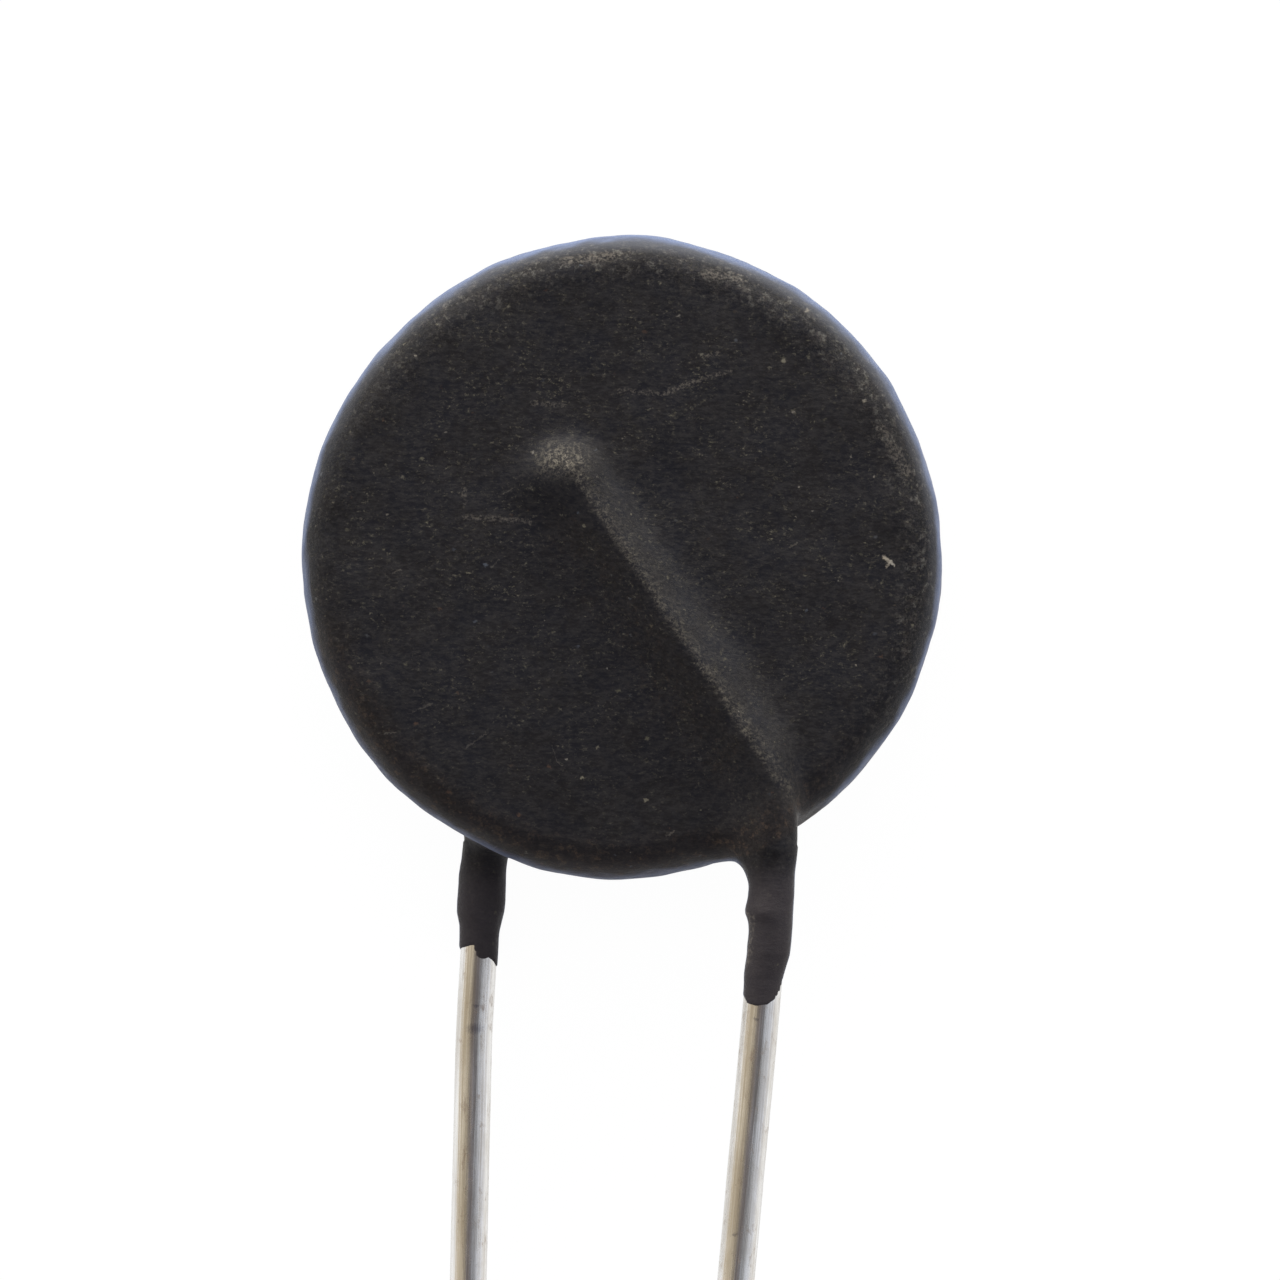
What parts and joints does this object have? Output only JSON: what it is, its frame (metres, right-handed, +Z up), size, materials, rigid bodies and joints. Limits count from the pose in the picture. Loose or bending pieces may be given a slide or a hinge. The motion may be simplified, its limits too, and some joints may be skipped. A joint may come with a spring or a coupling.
{
  "type": "disc ntc thermistor",
  "caption": "Resin-dipped round disc thermistor with a lead wire ridge across each face and radial leads.",
  "frame": {"origin": "on the table, under the middle of the outline of the part as it lies flat, front face up", "axes": "+Z up out of the front face, +Y from the lead tips to the disc, +X to the side that the front lead is on"},
  "size_m": [0.0173, 0.0423, 0.0048],
  "materials": {
    "ceramic": "matt fired ceramic",
    "silver": "matt fired silver film",
    "solder": "satin solder",
    "tinned_wire": "tinned copper, slightly dull, with fine draw marks",
    "resin": "black dipped resin, satin, with fine dust and scratches"
  },
  "bodies": {
    "root": {"ceramic_disc": "ceramic", "front_electrode": "silver", "rear_electrode": "silver", "front_solder": "solder", "rear_solder": "solder", "front_lead": "tinned_wire", "rear_lead": "tinned_wire", "coating": "resin"}
  },
  "joints": []
}
